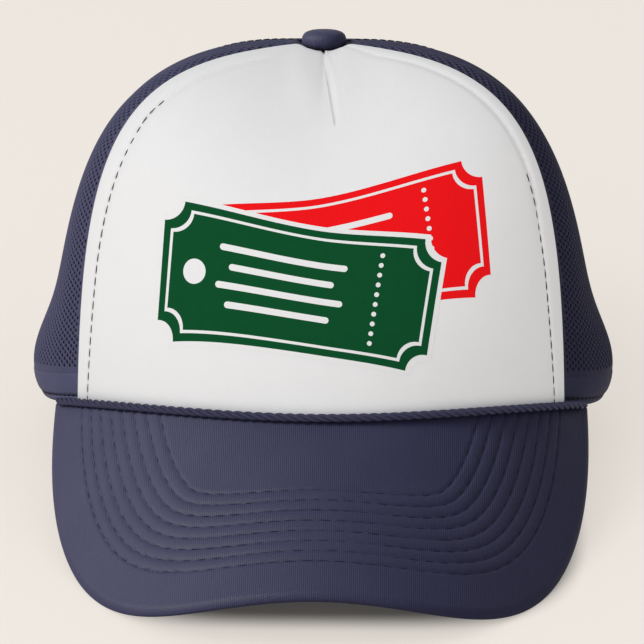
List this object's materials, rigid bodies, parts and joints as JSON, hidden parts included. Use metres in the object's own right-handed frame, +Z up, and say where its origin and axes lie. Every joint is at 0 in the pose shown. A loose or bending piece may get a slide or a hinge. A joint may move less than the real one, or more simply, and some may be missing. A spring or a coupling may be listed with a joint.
{
  "type": "trucker cap",
  "caption": "Five-panel trucker cap with a foam front, net sides and back, curved stitched peak, corded peak seam, covered top button and a plain back strap.",
  "frame": {"origin": "on the surface that the cap rests on, under the middle of its box", "axes": "-Y the way the peak points, +Y towards the back strap, +X to the right as seen from the front, +Z up"},
  "size_m": [0.196, 0.2514, 0.1393],
  "materials": {
    "foam": "matte white tricot over foam",
    "net": "open navy polyester net",
    "cloth": "matte navy twill",
    "cord": "twisted navy cord with a slight sheen",
    "strap": "smooth navy plastic"
  },
  "bodies": {
    "root": {"front_panel": "foam", "side_panel_right": "net", "side_panel_left": "net", "back_panel_right": "net", "back_panel_left": "net", "hem_band_right": "cloth", "hem_band_left": "cloth", "arch_binding": "cloth", "snap_strap": "strap", "peak": "cloth", "rope_braid": "cord", "top_button": "cloth"}
  },
  "joints": []
}
